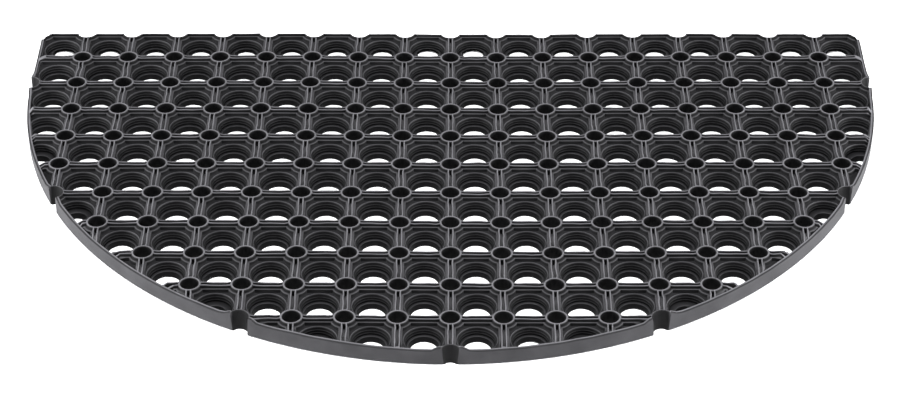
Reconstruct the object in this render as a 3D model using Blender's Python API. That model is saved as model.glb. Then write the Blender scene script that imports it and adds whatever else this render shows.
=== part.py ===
"""Half round rubber ring mat, moulded in one piece.

The mat lies flat on the floor. Its straight back edge faces +Y and its round front faces -Y. Rings stand on a
square lattice, webs join them, and every square between four rings is a funnel that is open to the floor.
Lattice rows are counted from the back edge, columns from the middle.
"""
from math import copysign, cos, hypot, pi, sin, sqrt

import bmesh
import bpy
from mathutils import Matrix, Vector

# Whole mat, in metres
WIDTH = 0.750           # along the straight back edge
DEPTH = 0.456           # back edge to the tip of the round front
SIDE_LENGTH = 0.083     # straight stretch of each side, before the round front begins
HEIGHT = 0.0175         # floor to ring tops
RIM_DROP = 0.003        # the outer rim is this much lower than the ring tops
RIM_SLOPE = 0.002       # width of the slope from the outer rim up to the ring tops
BORDER = 0.0028         # least thickness of the outer wall

# Lattice
BAYS = 18               # squares along the back edge
ROWS = 11               # squares from the back edge to the front tip
PITCH = WIDTH / BAYS
BACK_MARGIN = 0.0013    # from the middle of row 0 to the back edge
ARC_ROW = 2             # lattice row where the round front begins
FIELD_RADIUS = 8.65     # rings and whole cells lie within this many pitches of the middle of the arc row
POCKET_RADIUS = 8.9     # cells out to here are half hidden by the outer wall

# Rings, webs and cells
RING_BORE = 0.0150      # diameter of the hole through a ring
RING_RIM = 0.0188       # diameter across a ring's top
WEB_TOP = 0.0064        # width of a web between two cells, at the top
CELL_FOOT = 0.0224      # diameter of a cell where it meets the floor
POCKET_FLOOR = 0.003    # rubber left under a cell or a ring that isn't cut through
BLIND_RINGS = ((-3, 10), (3, 10))
EDGE_NOTCHES = ((9, 0), (9, 2), (8, 6), (4, 10))    # half rings on the sides and the round front

# Faceting
ARC_STEPS = 48
RING_SIDES = 6
NOTCH_SIDES = 8
CELL_SIDES = 8
OVERSHOOT = 0.001       # how far each cutter passes the faces that it cuts
WELD = 0.00001

RUBBER_COLOUR = (0.018, 0.018, 0.020, 1.0)
RUBBER_ROUGHNESS = 0.55


def clear_scene():
    for item in list(bpy.data.objects):
        bpy.data.objects.remove(item, do_unlink=True)


def new_collection(name):
    collection = bpy.data.collections.new(name)
    bpy.context.scene.collection.children.link(collection)
    return collection


def black_rubber():
    material = bpy.data.materials.new("black_rubber")
    material.use_nodes = True
    shader = material.node_tree.nodes["Principled BSDF"]
    shader.inputs["Base Color"].default_value = RUBBER_COLOUR
    shader.inputs["Roughness"].default_value = RUBBER_ROUGHNESS
    shader.inputs["Metallic"].default_value = 0.0
    return material


def lattice_point(column, row):
    return Vector((column * PITCH, DEPTH / 2 - BACK_MARGIN - row * PITCH, 0))


def reach(place):
    """Distance of a place from the middle of the round front, in pitches."""
    column, row = place
    return hypot(column, max(row - ARC_ROW, 0))


def ring_places():
    columns = range(1 - BAYS // 2, BAYS // 2)
    places = [(column, row) for row in range(1, ROWS) for column in columns]
    return [place for place in places if reach(place) < FIELD_RADIUS]


def cell_places():
    columns = [step + 0.5 for step in range(-BAYS // 2, BAYS // 2)]
    rows = [step + 0.5 for step in range(ROWS)]
    places = [(column, row) for row in rows for column in columns]
    return [place for place in places if reach(place) < POCKET_RADIUS]


def notch_places():
    back = [(column, 0) for column in range(1 - BAYS // 2, BAYS // 2)]
    sides = [(side * column, row) for column, row in EDGE_NOTCHES for side in (-1, 1)]
    return back + sides + [(0, ROWS)]


def outline(inset):
    """The mat's outline, drawn in by inset: back edge, straight sides and half round front."""
    half_width = WIDTH / 2 - inset
    front_depth = DEPTH - SIDE_LENGTH - inset
    arc_y = DEPTH / 2 - SIDE_LENGTH
    points = [(-half_width, DEPTH / 2 - inset), (half_width, DEPTH / 2 - inset)]
    for step in range(ARC_STEPS + 1):
        angle = pi * step / ARC_STEPS
        points.append((half_width * cos(angle), arc_y - front_depth * sin(angle)))
    return points


def slab(name, inset, bottom, top, collection):
    """A flat slab of the mat's outline, with one face for its top and one for its floor side."""
    curve = bpy.data.curves.new(name, "CURVE")
    curve.dimensions = "2D"
    curve.fill_mode = "BOTH"
    curve.extrude = (top - bottom) / 2
    points = outline(inset)
    spline = curve.splines.new("POLY")
    spline.points.add(len(points) - 1)
    for point, (x, y) in zip(spline.points, points):
        point.co = (x, y, 0, 1)
    spline.use_cyclic_u = True
    flat = bpy.data.objects.new(name + "_outline", curve)
    flat.location.z = (top + bottom) / 2
    collection.objects.link(flat)
    bpy.context.view_layer.update()
    evaluated = flat.evaluated_get(bpy.context.evaluated_depsgraph_get())
    mesh = bpy.data.meshes.new_from_object(evaluated)
    mesh.transform(flat.matrix_world)
    bpy.data.objects.remove(flat, do_unlink=True)

    shape = bmesh.new()
    shape.from_mesh(mesh)
    bmesh.ops.remove_doubles(shape, verts=shape.verts, dist=WELD)
    bmesh.ops.dissolve_limit(shape, angle_limit=0.001, verts=shape.verts, edges=shape.edges)
    bmesh.ops.recalc_face_normals(shape, faces=shape.faces)
    shape.to_mesh(mesh)
    shape.free()
    item = bpy.data.objects.new(name, mesh)
    collection.objects.link(item)
    return item


def raise_field(item):
    """Raises everything inside the outer rim to the height of the ring tops."""
    shape = bmesh.new()
    shape.from_mesh(item.data)
    top = [face for face in shape.faces if face.normal.z > 0.99]
    bmesh.ops.inset_region(shape, faces=top, thickness=RIM_SLOPE, depth=RIM_DROP, use_even_offset=True)
    shape.to_mesh(item.data)
    shape.free()


def along_funnel(height, foot, top):
    """A funnel's size at a height, from its sizes at the floor and at the ring tops."""
    return foot + (top - foot) * height / HEIGHT


def add_cell(shape, place, low):
    """Cutter for one cell from a low height up: an octagon that widens to a square with cut corners."""
    foot_flat = CELL_FOOT / 2 * cos(pi / CELL_SIDES)
    foot_corner = CELL_FOOT / 2 * sin(pi / CELL_SIDES)
    top_flat = (PITCH - WEB_TOP) / 2
    top_corner = PITCH - RING_RIM / sqrt(2) - top_flat
    turn = Matrix.Rotation(pi / CELL_SIDES, 4, "Z")
    cutter = bmesh.ops.create_cone(shape, cap_ends=True, segments=CELL_SIDES,
                                   radius1=1, radius2=1, depth=1, matrix=turn)
    centre = lattice_point(*place)
    for vert in cutter["verts"]:
        height = low if vert.co.z < 0 else HEIGHT + OVERSHOOT
        flat = along_funnel(height, foot_flat, top_flat)
        corner = along_funnel(height, foot_corner, top_corner)
        beside = abs(vert.co.x) > abs(vert.co.y)
        x = copysign(flat if beside else corner, vert.co.x)
        y = copysign(corner if beside else flat, vert.co.y)
        vert.co = centre + Vector((x, y, height))


def add_bore(shape, place, low, sides):
    """Cutter for the hole in one ring, from a low height up."""
    high = HEIGHT + OVERSHOOT
    centre = lattice_point(*place) + Vector((0, 0, (low + high) / 2))
    turn = Matrix.Rotation(pi / sides, 4, "Z")
    bmesh.ops.create_cone(shape, cap_ends=True, segments=sides, radius1=RING_BORE / 2, radius2=RING_BORE / 2,
                          depth=high - low, matrix=Matrix.Translation(centre) @ turn)


def new_cutter(name, shape, collection):
    mesh = bpy.data.meshes.new(name)
    shape.to_mesh(mesh)
    shape.free()
    item = bpy.data.objects.new(name, mesh)
    collection.objects.link(item)
    return item


def cut(item, cutter, operation="DIFFERENCE"):
    modifier = item.modifiers.new(cutter.name, "BOOLEAN")
    modifier.object = cutter
    modifier.operation = operation
    modifier.solver = "EXACT"
    cutter.hide_render = True
    cutter.display_type = "WIRE"


def build():
    clear_scene()
    parts = new_collection("half_round_ring_mat")
    cutters = new_collection("cutters")

    mat = slab("ring_mat", 0, 0, HEIGHT - RIM_DROP, parts)
    raise_field(mat)
    mat.data.materials.append(black_rubber())

    # Cells stop at the outer wall, so those near the round front lose their outer corner
    cells = bmesh.new()
    for place in cell_places():
        add_cell(cells, place, -OVERSHOOT if reach(place) < FIELD_RADIUS else POCKET_FLOOR)
    cell_cutter = new_cutter("cells", cells, cutters)
    inside_wall = slab("inside_outer_wall", BORDER, -2 * OVERSHOOT, HEIGHT + 2 * OVERSHOOT, cutters)
    cut(cell_cutter, inside_wall, "INTERSECT")
    cut(mat, cell_cutter)

    bores = bmesh.new()
    for place in ring_places():
        add_bore(bores, place, POCKET_FLOOR if place in BLIND_RINGS else -OVERSHOOT, RING_SIDES)
    for place in notch_places():
        add_bore(bores, place, -OVERSHOOT, NOTCH_SIDES)
    cut(mat, new_cutter("bores", bores, cutters))


build()
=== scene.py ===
"""Looks of the half round rubber ring mat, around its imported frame.

The mat lies flat with its straight back edge towards +Y and its round front towards -Y. Lattice rows are
counted from the back edge and columns from the middle. One pitch is the distance between two rings.
"""
from math import asin, atan2, cos, hypot, pi, radians, sin, sqrt

import bmesh
import bpy
import numpy as np
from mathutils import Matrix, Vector, noise


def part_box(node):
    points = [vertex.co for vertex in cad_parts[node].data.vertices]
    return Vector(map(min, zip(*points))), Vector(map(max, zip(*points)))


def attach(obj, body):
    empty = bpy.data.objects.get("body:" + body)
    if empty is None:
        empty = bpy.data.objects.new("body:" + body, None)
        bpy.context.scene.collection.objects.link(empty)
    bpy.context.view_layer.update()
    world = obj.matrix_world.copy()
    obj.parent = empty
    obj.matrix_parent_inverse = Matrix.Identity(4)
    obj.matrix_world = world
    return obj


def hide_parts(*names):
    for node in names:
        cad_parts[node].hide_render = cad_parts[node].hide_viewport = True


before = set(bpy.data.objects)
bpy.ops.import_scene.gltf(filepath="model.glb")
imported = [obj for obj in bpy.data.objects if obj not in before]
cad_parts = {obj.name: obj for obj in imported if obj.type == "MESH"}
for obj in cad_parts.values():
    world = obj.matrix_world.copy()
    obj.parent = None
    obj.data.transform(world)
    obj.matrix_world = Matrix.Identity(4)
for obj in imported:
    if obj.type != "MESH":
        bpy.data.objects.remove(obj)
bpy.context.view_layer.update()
low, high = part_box("ring_mat")

# Whole mat, in metres
WIDTH = high.x - low.x
HEIGHT = high.z - low.z
BACK = high.y
DEPTH = 0.456
SIDE_LENGTH = 0.083
ARC_Y = BACK - SIDE_LENGTH
LAST_COLUMN = 9
PITCH = WIDTH / (2 * LAST_COLUMN)
BACK_MARGIN = 0.0013
MM = 0.001

# Lattice, in pitches
LAST_ROW = 11
ARC_ROW = 2
RING_REACH = 8.65
WELL_REACH = 8.9
POCKET_REACH = 9.36
FRONT_NOTCHES = ((9, 0), (9, 2), (8, 6), (4, 10), (0, 11))

# Depth below the ring tops in mm, web half width and ring radius in pitches, from the top down
WEB_STEPS = (
    (-1.0, 0.048, 0.203),
    (0.0, 0.048, 0.203),
    (0.25, 0.054, 0.211),
    (0.9, 0.058, 0.218),
    (2.75, 0.062, 0.222),
    (2.7, 0.091, 0.264),
    (2.95, 0.098, 0.271),
    (3.4, 0.100, 0.273),
    (5.9, 0.104, 0.277),
)
# Depth in mm and well radius in pitches: the wall with its two ribs, then the flange of a whole cell
WELL_STEPS = (
    (5.9, 0.392),
    (5.88, 0.386),
    (6.3, 0.378),
    (7.0, 0.370),
    (8.2, 0.364),
    (8.6, 0.355),
    (9.1, 0.359),
    (10.4, 0.353),
    (10.8, 0.344),
    (11.3, 0.348),
    (12.5, 0.343),
)
FLANGE_STEPS = (
    (12.6, 0.306),
    (12.85, 0.299),
    (13.3, 0.296),
    (18.5, 0.262),
)
# The same for the cells along the back edge, and how far they are shifted back by column, in pitches
BACK_FLANGE_STEPS = (
    (12.6, 0.270),
    (12.85, 0.262),
    (13.3, 0.258),
    (18.5, 0.220),
)
BACK_FLANGE_SHIFT = {0.5: 0.19, 7.5: 0.16, 8.5: 0.19}
BACK_FLANGE_SHIFT_ELSEWHERE = 0.12
FLANGE_EDGE_DEPTH = 13      # the flange's upper edge, in mm, which is shifted by a third as much
# The flange of a cell that the outer wall half hides
NARROW_FLANGE_STEPS = (
    (12.6, 0.232),
    (12.85, 0.224),
    (13.3, 0.218),
    (18.5, 0.165),
)
# Depth in mm, half width and distance from the ring's middle in pitches, where a groove is deepest
GROOVE_STEPS = (
    (-1.0, 0.036, 0.206),
    (0.0, 0.036, 0.206),
    (0.3, 0.030, 0.214),
    (0.9, 0.028, 0.218),
    (2.75, 0.025, 0.221),
    (5.1, 0.017, 0.225),
    (5.4, 0.010, 0.235),
)
# Depth in mm and radius in pitches of a ring's bore and of a notch
BORE_STEPS = (
    (-1.0, 0.190),
    (0.0, 0.190),
    (0.25, 0.182),
    (0.9, 0.178),
    (18.5, 0.174),
)
NOTCH_STEPS = (
    (-1.0, 0.213),
    (0.0, 0.213),
    (0.9, 0.200),
    (4.0, 0.190),
    (18.5, 0.162),
)
# Height in mm and inset in mm of the outer wall, from the floor up
WALL_STEPS = (
    (0.0, 1.2),
    (0.7, 1.0),
    (1.2, 0.1),
    (16.4, 0.0),
    (17.2, 0.3),
    (17.5, 1.0),
    (17.5, 1.9),
)
# Depth in mm and how strongly the paler colour is painted there: painted highlights on the lit rounded edges
# of the rings, ledges and flange
EDGE_HIGHLIGHT_STEPS = (
    (0.0, 1.0),
    (0.25, 0.5),
    (0.9, 0.0),
    (2.6, 0.0),
    (2.7, 0.45),
    (2.75, 0.0),
    (2.95, 0.25),
    (3.4, 0.0),
    (5.85, 0.0),
    (5.88, 0.65),
    (5.9, 0.1),
    (6.3, 0.25),
    (7.0, 0.0),
    (8.2, 0.0),
    (8.6, 0.25),
    (9.1, 0.0),
    (10.4, 0.0),
    (10.8, 0.25),
    (11.3, 0.0),
    (12.5, 0.0),
    (12.6, 0.2),
    (12.85, 0.5),
    (13.3, 0.0),
)

ARC_STEPS = 240
EDGE_STEPS = 4          # outline points to a pitch along the straight edges
ALONG = (-1, -0.72, -0.25, 0.25, 0.72, 1)
LIP_DEPTH = 0.9             # foot of the rounded lip along a groove's top edges, in mm
# Share of the full depth at each place along a groove, for the grooves across the mat and those to the front
ACROSS_FLOOR = {1: 1.0, 0.72: 0.9, 0.25: 0.8}
ALONG_FLOOR = {1: 1.0, 0.72: 0.45, 0.25: 0.2}
CORNER_STEPS = 5
PLAIN_CORNER = 1.7      # size of a cell corner that has no ring, in web half widths
WELL_SIDES = 4 * (len(ALONG) - 1 + CORNER_STEPS)
BORE_SIDES = 32

FIELD_INSET_TOP = 0.060     # inner face of the outer wall, in pitches from the outline
FIELD_INSET_FLOOR = 0.110
FIELD_OVERSHOOT = 0.12      # how far it is drawn past the floor and the ring tops, as a share of the height

# Unevenness of the moulding, in metres, and how many waves of it there are to a metre
WEB_DROP = 0.00035
WEB_WOBBLE = 0.0008
WEB_WOBBLE_SCALE = 120
MOULD_WOBBLE = 0.00025
MOULD_WOBBLE_SCALE = 28
NOISE_SEED = 1
RIM_DROP = 0.0038
BACK_RIM_DROP = 0.0024
RIM_DENT = 0.0005
RIM_DENT_SCALE = 60
# Column, and how many mm the mat's top stands above its least height there
SWELL = (
    (-9, 1.0),
    (-7, 1.0),
    (-4.5, 1.2),
    (-3, 1.1),
    (-1.5, 0.6),
    (0, 0.1),
    (1, 0.0),
    (2, 0.1),
    (3.5, 0.6),
    (5, 0.9),
    (7, 0.7),
    (9, 0.8),
)
SPLIT_ROW = 4.5
SMOOTH_ANGLE = 38

# Where the rim slopes, where it rises to a notch, and where a web begins beside a ring and the wall,
# in pitches
RIM_SLOPE = (0.05, 0.11)
NOTCH_RISE = (0.24, 0.40)
BACK_RIM_ROWS = (0.2, 1.0)
WEB_FROM_RING = (0.215, 0.27)
WEB_FROM_WALL = (0.06, 0.12)
WEB_TOP_DEPTH = (1.0, 2.7)      # in mm, where the webs' unevenness fades out

# Painted highlight lines on the lit fin tops of the webs that run to the front, a painted reflection of the
# bright floor on the wall's outer face and a painted highlight on the top of its rim
HIGHLIGHT_LINE_HALF_WIDTH = 0.08
HIGHLIGHT_LINE_DEPTH = (0.8, 2.8)
HIGHLIGHT_LINE_STRENGTH = 0.35
WALL_REACH = 0.03
WALL_REFLECTION = 0.35
RIM_HIGHLIGHT = 0.12
RUBBER_DARK = (0.0012, 0.0012, 0.0014, 1)
RUBBER_LIGHT = (0.0036, 0.0036, 0.0041, 1)
# Paler colour that paints the highlights on edges and the reflection on the outer wall
RUBBER_PAINTED_HIGHLIGHT = (0.080, 0.079, 0.085, 1)
RUBBER_ROUGHNESS = 0.60
RUBBER_SHINE = 0.11

PATCH_SCALE = 55        # noise waves to a metre
GRAIN_SCALE = 900

FLOOR_SIZE = 12
FLOOR_COLOUR = (0.86, 0.86, 0.87, 1)
WORLD_COLOUR = (0.93, 0.95, 1.0, 1)
WORLD_STRENGTH = 0.14
# Name, place, size and power
SOFTBOXES = (
    ("overhead", (0.0, -0.5, 1.7), (1.0, 0.7), 62),
    ("behind", (0.0, 2.0, 1.5), (2.6, 1.0), 15),
    ("left_side", (-1.8, -0.3, 0.45), (1.6, 0.7), 110),
    ("right_side", (1.8, -0.3, 0.45), (1.6, 0.7), 110),
)
CAMERA_PLACE = (-0.0004, -1.7261, 1.2529)
CAMERA_ANGLES = (53.74, 0.0, 0.0)
CAMERA_LENS = 100.36
CAMERA_SENSOR = 36


def select_only(item):
    bpy.ops.object.select_all(action="DESELECT")
    item.select_set(True)
    bpy.context.view_layer.objects.active = item


def polar(point, centre=(0, 0)):
    return atan2(point[1] - centre[1], point[0] - centre[0])


def loft(name, rings, centre=(0, 0)):
    """A closed solid through rings of equally many points, extruded ring by ring."""
    bpy.ops.object.select_all(action="DESELECT")
    bpy.ops.mesh.primitive_circle_add(vertices=len(rings[0]), radius=WIDTH, fill_type="NGON",
                                      location=(0, 0, 0))
    item = bpy.context.object
    item.name = name
    bpy.ops.object.mode_set(mode="EDIT")
    middle = (0, 0)
    for index, ring in enumerate(rings):
        bpy.ops.mesh.select_mode(type="FACE")
        if index:
            bpy.ops.mesh.extrude_region_move()
        shape = bmesh.from_edit_mesh(item.data)
        chosen = [vert for vert in shape.verts if vert.select]
        chosen.sort(key=lambda vert: polar(vert.co, middle))
        for vert, point in zip(chosen, sorted(ring, key=lambda point: polar(point, centre))):
            vert.co = point
        middle = centre
        bmesh.update_edit_mesh(item.data)
    bpy.ops.mesh.select_all(action="SELECT")
    bpy.ops.mesh.normals_make_consistent(inside=False)
    bpy.ops.object.mode_set(mode="OBJECT")
    return item


def boolean(item, cutter, operation="DIFFERENCE"):
    modifier = item.modifiers.new(cutter.name, "BOOLEAN")
    modifier.object = cutter
    modifier.operation = operation
    modifier.solver = "MANIFOLD"
    select_only(item)
    bpy.ops.object.modifier_apply(modifier=modifier.name)


def lattice_point(column, row):
    return Vector((column * PITCH, BACK - BACK_MARGIN - row * PITCH, 0))


def reach(column, row):
    """Distance from the middle of the round front, in pitches."""
    return hypot(column, max(row - ARC_ROW, 0))


def outline(inset, z):
    """The mat's outline, drawn in by inset."""
    half = WIDTH / 2 - inset
    back = BACK - inset
    front = DEPTH - SIDE_LENGTH - inset
    steps = EDGE_STEPS * 2 * LAST_COLUMN
    points = [(-half + 2 * half * step / steps, back, z) for step in range(steps + 1)]
    side_steps = EDGE_STEPS * ARC_ROW
    for step in range(1, side_steps):
        y = back + (ARC_Y - back) * step / side_steps
        points += [(-half, y, z), (half, y, z)]
    for step in range(ARC_STEPS + 1):
        angle = pi * step / ARC_STEPS
        points.append((half * cos(angle), ARC_Y - front * sin(angle), z))
    return points


def cell_ring(depth, side, corner, ringed):
    """Outline of a cell at a depth: four straight webs, and corners that follow the rings."""
    z = HEIGHT - depth * MM
    radii = [corner if has_ring else side * PLAIN_CORNER for has_ring in ringed]
    points = []
    for turn, radius in enumerate(radii):
        ends = [0.5 - sqrt(r ** 2 - side ** 2) for r in (radii[turn - 1], radius)]
        quarter = [(0.5 - side, share * ends[share > 0]) for share in ALONG]
        start = asin(side / radius)
        for step in range(1, CORNER_STEPS):
            angle = start + (pi / 2 - 2 * start) * step / CORNER_STEPS
            quarter.append((0.5 - radius * sin(angle), 0.5 - radius * cos(angle)))
        for x, y in quarter:
            for _ in range(turn):
                x, y = -y, x
            points.append((x * PITCH, y * PITCH, z))
    return points


def round_ring(depth, radius, sides, shift=0):
    z = HEIGHT - depth * MM
    angles = [2 * pi * (step + 0.5) / sides for step in range(sides)]
    return [(radius * PITCH * cos(angle), (radius * sin(angle) + shift) * PITCH, z) for angle in angles]


def groove_ring(depth, half_width, start, floor):
    """Outline of a groove at a depth. Its floor rises from both rings to the middle."""
    half_length = 0.5 - start
    points = []
    for share in ALONG:
        local = min(depth, LIP_DEPTH) + max(depth - LIP_DEPTH, 0) * floor[abs(share)]
        x = share * half_length * PITCH
        points += [(x, side * half_width * PITCH, HEIGHT - local * MM) for side in (-1, 1)]
    return points


def copies(master, places, turned=False):
    """Copies a cutter to lattice places, joined into one mesh."""
    bpy.ops.object.select_all(action="DESELECT")
    for column, row in places:
        copy = master.copy()
        copy.data = master.data.copy()
        copy.location = lattice_point(column, row)
        copy.rotation_euler.z = pi / 2 if turned else 0
        bpy.context.collection.objects.link(copy)
        copy.select_set(True)
        bpy.context.view_layer.objects.active = copy
    bpy.ops.object.join()
    joined = bpy.context.object
    bpy.ops.object.transform_apply(location=True, rotation=True, scale=True)
    return joined


def lattice_rings():
    columns = range(1 - LAST_COLUMN, LAST_COLUMN)
    places = [(column, row) for row in range(1, LAST_ROW) for column in columns]
    return [place for place in places if reach(*place) < RING_REACH]


def lattice_notches():
    back = [(column, 0) for column in range(1 - LAST_COLUMN, LAST_COLUMN)]
    front = {(side * column, row) for column, row in FRONT_NOTCHES for side in (-1, 1)}
    return back + sorted(front)


def lattice_cells():
    columns = [step + 0.5 for step in range(-LAST_COLUMN, LAST_COLUMN)]
    rows = [step + 0.5 for step in range(LAST_ROW)]
    return [(column, row) for row in rows for column in columns if reach(column, row) < POCKET_REACH]


def lattice_grooves():
    """Middles of the grooves that run across the mat, and of those that run to the front."""
    ends = set(lattice_rings()) | set(lattice_notches())
    across = []
    along = []
    for row in range(LAST_ROW + 1):
        for column in range(-LAST_COLUMN, LAST_COLUMN + 1):
            here = (column, row) in ends
            if 0 < row < LAST_ROW and column < LAST_COLUMN and (here or (column + 1, row) in ends):
                across.append((column + 0.5, row))
            if abs(column) < LAST_COLUMN and row < LAST_ROW and (here or (column, row + 1) in ends):
                along.append((column, row + 0.5))
    return across, along


def ringed_corners(column, row):
    """Whether a ring or a notch stands at each corner of a cell, from the back right corner on."""
    ends = set(lattice_rings()) | set(lattice_notches())
    corners = [(0.5, -0.5), (-0.5, -0.5), (-0.5, 0.5), (0.5, 0.5)]
    return tuple((column + dx, row + dy) in ends for dx, dy in corners)


def cell_kind(column, row):
    """How a cell is cut: its ringed corners, whether it has a well, its flange and the flange's shift."""
    corners = ringed_corners(column, row)
    far = reach(column, row)
    if row < 1:
        shift = BACK_FLANGE_SHIFT.get(abs(column), BACK_FLANGE_SHIFT_ELSEWHERE)
        return corners, True, BACK_FLANGE_STEPS, shift
    if far < RING_REACH:
        return corners, True, FLANGE_STEPS, 0
    return corners, far < WELL_REACH, NARROW_FLANGE_STEPS, 0


def cell_cutters():
    """Cutters for all the cells, one mesh for each kind of cell."""
    places = lattice_cells()
    cutters = []
    for kind in sorted({cell_kind(*place) for place in places}):
        corners, has_well, flange, shift = kind
        rings = [cell_ring(*step, corners) for step in WEB_STEPS]
        if has_well:
            rings += [round_ring(depth, radius, WELL_SIDES) for depth, radius in WELL_STEPS]
            for depth, radius in flange:
                own_shift = shift if depth > FLANGE_EDGE_DEPTH else shift / 3
                rings.append(round_ring(depth, radius, WELL_SIDES, own_shift))
        master = loft("cell", rings[::-1])
        cutters.append(copies(master, [place for place in places if cell_kind(*place) == kind]))
        bpy.data.objects.remove(master, do_unlink=True)
    return cutters


def cut_mat():
    """The moulded mat: a slab of its outline, less its cells, grooves and bores."""
    middle = (0, ARC_Y + SIDE_LENGTH / 3)
    mat = loft("ring_mat_rubber", [outline(inset * MM, height * MM) for height, inset in WALL_STEPS], middle)
    extra = (FIELD_INSET_FLOOR - FIELD_INSET_TOP) * FIELD_OVERSHOOT
    below = outline((FIELD_INSET_FLOOR + extra) * PITCH, -FIELD_OVERSHOOT * HEIGHT)
    above = outline((FIELD_INSET_TOP - extra) * PITCH, (1 + FIELD_OVERSHOOT) * HEIGHT)
    field = loft("inside_of_the_wall", [below, above], middle)

    inside = cell_cutters()
    masters = []
    for places, floor, turned in zip(lattice_grooves(), (ACROSS_FLOOR, ALONG_FLOOR), (False, True)):
        masters.append(loft("groove", [groove_ring(*step, floor) for step in GROOVE_STEPS[::-1]]))
        inside.append(copies(masters[-1], places, turned))
    for cutter in inside:
        boolean(cutter, field, "INTERSECT")
    bores = []
    for places, steps in ((lattice_rings(), BORE_STEPS), (lattice_notches(), NOTCH_STEPS)):
        rings = [round_ring(depth, radius, BORE_SIDES) for depth, radius in steps[::-1]]
        masters.append(loft("bore", rings))
        bores.append(copies(masters[-1], places))
    for cutter in inside + bores:
        boolean(mat, cutter)
    for tool in inside + bores + masters + [field]:
        bpy.data.objects.remove(tool, do_unlink=True)
    return mat


def smooth_step(values, start, end):
    share = np.clip((values - start) / (end - start), 0, 1)
    return share * share * (3 - 2 * share)


def outline_distance(x, y):
    """Distance inwards from the mat's outline, in pitches."""
    half = WIDTH / 2
    front = DEPTH - SIDE_LENGTH
    forward = np.minimum(y - ARC_Y, 0)
    share = np.hypot(x / half, forward / front)
    slope = np.hypot(x / half ** 2, forward / front ** 2) / np.maximum(share, 0.01)
    curved = (1 - share) / np.maximum(slope, 0.01)
    straight = half - np.abs(x)
    sideways = np.where(y < ARC_Y, curved, straight)
    return np.minimum(sideways, BACK - y) / PITCH


def notch_distance(column, row):
    """Distance from the nearest notch in the round front, in pitches."""
    nearest = np.full(len(column), 9.0)
    for notch_column, notch_row in FRONT_NOTCHES[1:]:
        nearest = np.minimum(nearest, np.hypot(np.abs(column) - notch_column, row - notch_row))
    return nearest


def noise_field(points, scale, seed):
    """Smooth random offsets, the same at every run."""
    shift = Vector((seed, seed * 0.7, seed * 1.3))
    return np.array([noise.noise_vector(Vector(point) * scale + shift) for point in points])


def shape_and_paint_light(piece):
    """Marks where highlights and the wall's reflection are painted on, lowers the web tops and the rim, and
    gives the mat its swell and unevenness.
    """
    mesh = piece.data
    points = np.empty(len(mesh.vertices) * 3)
    mesh.vertices.foreach_get("co", points)
    points = points.reshape(-1, 3)
    x, y, z = points.T.copy()
    depth = (HEIGHT - z) / MM
    column = x / PITCH
    row = (BACK - BACK_MARGIN - y) / PITCH
    across = column - np.round(column)
    forward = row - np.round(row)
    from_ring = np.hypot(across, forward)
    inwards = outline_distance(x, y)

    # Painted highlights along the lit rounded edges, set by depth
    painted_light = np.interp(depth, *zip(*EDGE_HIGHLIGHT_STEPS))
    # Painted highlight lines on the lit fin tops of the webs that run to the front
    highlight_lines = (np.abs(across) < HIGHLIGHT_LINE_HALF_WIDTH) & (from_ring > WEB_FROM_RING[1])
    highlight_lines &= (depth > HIGHLIGHT_LINE_DEPTH[0]) & (depth < HIGHLIGHT_LINE_DEPTH[1])
    painted_light[highlight_lines] = HIGHLIGHT_LINE_STRENGTH
    # Painted reflection of the bright floor on the wall's outer face, a painted highlight on its rim, and
    # none at its foot
    wall = inwards < WALL_REACH
    painted_light[wall] = WALL_REFLECTION
    painted_light[wall & (depth < 0.35)] = RIM_HIGHLIGHT
    painted_light[wall & (depth > 16.5)] = 0
    # Stores the painted highlights and reflection for the material
    highlight_layer = mesh.attributes.new("painted_edge_highlight", "FLOAT", "POINT")
    highlight_layer.data.foreach_set("value", painted_light)

    near_top = 1 - smooth_step(depth, *WEB_TOP_DEPTH)
    between_rings = smooth_step(from_ring, *WEB_FROM_RING) * smooth_step(inwards, *WEB_FROM_WALL)
    wobble = noise_field(points, WEB_WOBBLE_SCALE, 3)
    z -= WEB_DROP * between_rings * (depth < 1.5)
    z += WEB_WOBBLE * 0.4 * wobble[:, 2] * between_rings * near_top
    x += WEB_WOBBLE * wobble[:, 0] * between_rings * near_top
    y += WEB_WOBBLE * wobble[:, 1] * between_rings * near_top

    drop = BACK_RIM_DROP + (RIM_DROP - BACK_RIM_DROP) * smooth_step(row, *BACK_RIM_ROWS)
    drop *= 1 - smooth_step(inwards, *RIM_SLOPE)
    drop *= smooth_step(notch_distance(column, row), *NOTCH_RISE)
    drop += RIM_DENT * noise_field(points, RIM_DENT_SCALE, 7)[:, 2] * (inwards < 0.09)
    swell = np.interp(column, *zip(*SWELL)) * MM
    z *= 1 + (swell - drop) / HEIGHT

    slow = noise_field(points, MOULD_WOBBLE_SCALE, 11)
    lifted = np.clip(z / HEIGHT, 0, 1)
    x += MOULD_WOBBLE * slow[:, 0] * lifted
    y += MOULD_WOBBLE * slow[:, 1] * lifted
    z += MOULD_WOBBLE * slow[:, 2] * lifted
    mesh.vertices.foreach_set("co", np.column_stack([x, y, z]).ravel())
    mesh.update()


def half_of(mat, name, front):
    """A copy of the front or back half of the mat, cut through the middle of a row of cells."""
    half = mat.copy()
    half.data = mat.data.copy()
    half.name = name
    bpy.context.collection.objects.link(half)
    bpy.ops.object.select_all(action="DESELECT")
    y = lattice_point(0, SPLIT_ROW).y
    bpy.ops.mesh.primitive_cube_add(size=2 * WIDTH, location=(0, y - WIDTH if front else y + WIDTH, 0))
    box = bpy.context.object
    box.name = "half_box"
    boolean(half, box, "INTERSECT")
    bpy.data.objects.remove(box, do_unlink=True)
    return half


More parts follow.
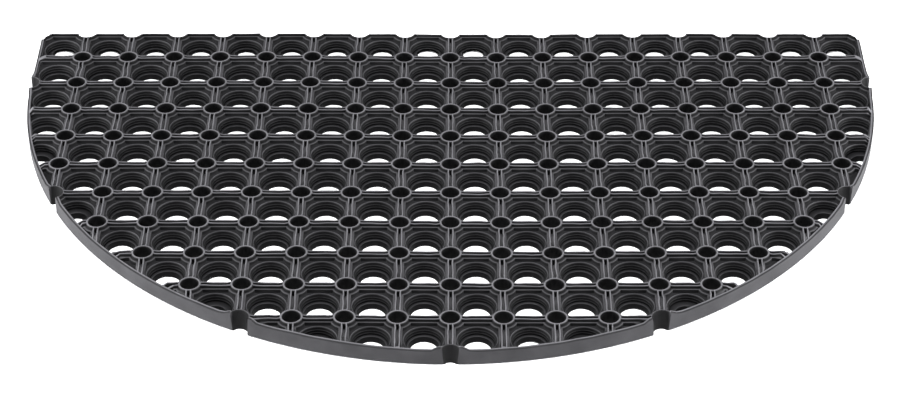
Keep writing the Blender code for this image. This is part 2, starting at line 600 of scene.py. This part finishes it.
def finish_piece(piece, material):
    select_only(piece)
    bpy.ops.object.mode_set(mode="EDIT")
    bpy.ops.mesh.select_all(action="SELECT")
    bpy.ops.mesh.quads_convert_to_tris()
    bpy.ops.object.mode_set(mode="OBJECT")
    shape_and_paint_light(piece)
    bpy.ops.object.shade_smooth_by_angle(angle=radians(SMOOTH_ANGLE))
    weighted = piece.modifiers.new("weighted", "WEIGHTED_NORMAL")
    weighted.keep_sharp = True
    bpy.ops.object.modifier_apply(modifier="weighted")
    piece.data.materials.clear()
    piece.data.materials.append(material)
    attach(piece, "root")
    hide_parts("ring_mat")


def add_node(tree, kind, **values):
    node = tree.nodes.new(kind)
    for key, value in values.items():
        if hasattr(node, key):
            setattr(node, key, value)
        else:
            node.inputs[key.replace("_", " ").title()].default_value = value
    return node


def noise_node(tree, coordinates, scale, detail, roughness=0.5):
    node = add_node(tree, "ShaderNodeTexNoise", scale=scale, detail=detail, roughness=roughness)
    tree.links.new(coordinates, node.inputs["Vector"])
    return node


def math_node(tree, operation, first, second):
    node = tree.nodes.new("ShaderNodeMath")
    node.operation = operation
    for socket, value in zip(node.inputs, (first, second)):
        if isinstance(value, (int, float)):
            socket.default_value = value
        else:
            tree.links.new(value, socket)
    return node.outputs[0]


def mix_colours(tree, share, first, second):
    node = tree.nodes.new("ShaderNodeMix")
    node.data_type = "RGBA"
    tree.links.new(share, node.inputs["Factor"])
    for name, value in (("A", first), ("B", second)):
        socket = [item for item in node.inputs if item.name == name and item.type == "RGBA"][0]
        if isinstance(value, tuple):
            socket.default_value = value
        else:
            tree.links.new(value, socket)
    return [item for item in node.outputs if item.type == "RGBA"][0]


def black_rubber():
    """Satin moulded black rubber with a fine grain, with highlights and the wall's reflection painted in a
    paler colour along its edges.
    """
    material = bpy.data.materials.new("black_rubber")
    material.use_nodes = True
    tree = material.node_tree
    shader = tree.nodes["Principled BSDF"]
    place = tree.nodes.new("ShaderNodeTexCoord").outputs["Object"]
    highlight_layer = add_node(tree, "ShaderNodeAttribute", attribute_name="painted_edge_highlight").outputs["Fac"]

    patches = noise_node(tree, place, PATCH_SCALE, 3).outputs["Fac"]
    specks = noise_node(tree, place, GRAIN_SCALE, 4, 0.6).outputs["Fac"]
    uneven = math_node(tree, "MULTIPLY_ADD", patches, 0.9)
    uneven.node.inputs[2].default_value = 0.5
    # Painted highlights and reflection, made a little uneven by the patches
    share = math_node(tree, "MULTIPLY", highlight_layer, uneven)
    body = mix_colours(tree, patches, RUBBER_DARK, RUBBER_LIGHT)
    colour = mix_colours(tree, share, body, RUBBER_PAINTED_HIGHLIGHT)
    tree.links.new(colour, shader.inputs["Base Color"])

    rough = math_node(tree, "MULTIPLY_ADD", specks, 0.25)
    rough.node.inputs[2].default_value = RUBBER_ROUGHNESS - 0.12
    tree.links.new(rough, shader.inputs["Roughness"])
    shader.inputs["Specular IOR Level"].default_value = RUBBER_SHINE

    bump = add_node(tree, "ShaderNodeBump", strength=0.25, distance=0.0002)
    tree.links.new(specks, bump.inputs["Height"])
    tree.links.new(bump.outputs["Normal"], shader.inputs["Normal"])
    return material


def pale_floor():
    bpy.ops.object.select_all(action="DESELECT")
    bpy.ops.mesh.primitive_plane_add(size=FLOOR_SIZE, location=(0, 0, 0))
    floor = bpy.context.object
    floor.name = "floor"
    material = bpy.data.materials.new("pale_floor")
    material.use_nodes = True
    shader = material.node_tree.nodes["Principled BSDF"]
    shader.inputs["Base Color"].default_value = FLOOR_COLOUR
    shader.inputs["Roughness"].default_value = 0.9
    shader.inputs["Specular IOR Level"].default_value = 0.1
    floor.data.materials.append(material)


def softbox(name, place, size, power, aim=(0, 0, 0)):
    bpy.ops.object.light_add(type="AREA", location=place)
    lamp = bpy.context.object
    lamp.name = name
    lamp.data.shape = "RECTANGLE"
    lamp.data.size, lamp.data.size_y = size
    lamp.data.energy = power
    lamp.rotation_euler = (Vector(aim) - Vector(place)).to_track_quat("-Z", "Y").to_euler()


def studio():
    scene = bpy.context.scene
    scene.world = bpy.data.worlds.new("studio")
    scene.world.use_nodes = True
    background = scene.world.node_tree.nodes["Background"]
    background.inputs["Color"].default_value = WORLD_COLOUR
    background.inputs["Strength"].default_value = WORLD_STRENGTH
    for name, place, size, power in SOFTBOXES:
        softbox(name, place, size, power)
    scene.view_settings.view_transform = "Standard"


def camera():
    data = bpy.data.cameras.new("camera")
    data.lens = CAMERA_LENS
    data.sensor_width = CAMERA_SENSOR
    data.sensor_fit = "HORIZONTAL"
    item = bpy.data.objects.new("camera", data)
    item.location = CAMERA_PLACE
    item.rotation_euler = [radians(angle) for angle in CAMERA_ANGLES]
    bpy.context.collection.objects.link(item)
    bpy.context.scene.camera = item


noise.seed_set(NOISE_SEED)
camera()
studio()
pale_floor()
whole = cut_mat()
rubber = black_rubber()
for name, front in (("ring_mat_back_half", False), ("ring_mat_front_half", True)):
    finish_piece(half_of(whole, name, front), rubber)
bpy.data.objects.remove(whole, do_unlink=True)
